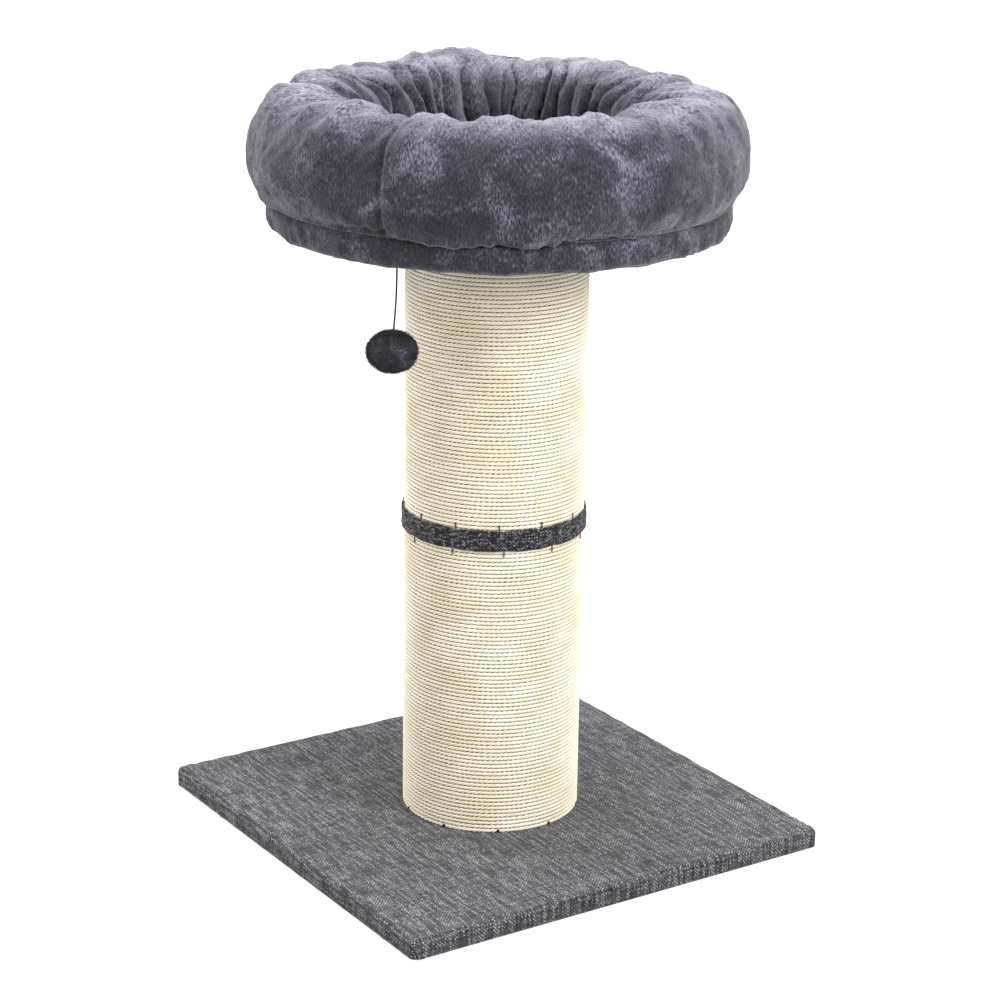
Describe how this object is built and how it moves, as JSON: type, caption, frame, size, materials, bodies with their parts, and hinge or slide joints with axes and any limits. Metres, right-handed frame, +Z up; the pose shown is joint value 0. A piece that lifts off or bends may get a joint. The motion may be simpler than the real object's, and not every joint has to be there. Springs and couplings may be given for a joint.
{
  "type": "cat scratching post",
  "caption": "Free-standing rope-wound scratching post on a square cloth-covered board, with a round gathered plush bed on top and a plush ball hanging from the bed on a cord.",
  "frame": {"origin": "centre of the underside of the square foot board, on the floor", "axes": "+Z up along the post; X and Y along the foot board's edges; the toy hangs towards -X and -Y"},
  "size_m": [0.4, 0.4, 0.6317],
  "materials": {
    "mdf": "matte",
    "base_cloth": "matte",
    "band_cloth": "matte",
    "bolt_steel": "satin",
    "wire_steel": "satin",
    "cardboard": "matte",
    "sisal_rope": "matte",
    "grey_plush": "matte",
    "fibre_filling": "matte",
    "foam": "matte",
    "elastic_cord": "matte"
  },
  "bodies": {
    "post": {"base_board": "mdf", "base_cover": "base_cloth", "base_hem_staples": "wire_steel", "base_bolt": "bolt_steel", "base_washer": "bolt_steel", "post_bottom_nut": "bolt_steel", "post_tube": "cardboard", "post_bottom_plug": "mdf", "post_top_plug": "mdf", "foot_nails": "wire_steel", "top_nails": "wire_steel", "lower_rope_turns": "sisal_rope", "lower_rope_sleeve": "sisal_rope", "upper_rope_turns": "sisal_rope", "upper_rope_sleeve": "sisal_rope", "post_band": "band_cloth", "band_top_staples": "wire_steel", "band_bottom_staples": "wire_steel", "bed_board": "mdf", "rim_cover": "grey_plush", "rim_cover_staples": "wire_steel", "bed_bolt": "bolt_steel", "bed_washer": "bolt_steel", "post_top_nut": "bolt_steel", "bolster_cover": "grey_plush", "bolster_filling": "fibre_filling", "floor_pad_cover": "grey_plush", "floor_pad_foam": "foam", "toy_staple": "wire_steel"},
    "toy_loop": {"toy_hanging_loop": "elastic_cord"},
    "toy": {"toy_cord": "elastic_cord", "toy_end_knot": "elastic_cord", "pompom_cover": "grey_plush", "pompom_filling": "fibre_filling"}
  },
  "joints": [
    {"name": "toy_swing_in_out", "type": "hinge", "parent": "post", "child": "toy_loop", "pos_m": [-0.13173, -0.06059, 0.5143], "axis": [-0.4179, 0.9085, 0], "range_deg": [-40, 65]},
    {"name": "toy_swing_sideways", "type": "hinge", "parent": "toy_loop", "child": "toy", "pos_m": [-0.13173, -0.06059, 0.5109], "axis": [-0.9085, -0.4179, 0], "range_deg": [-50, 50]}
  ]
}
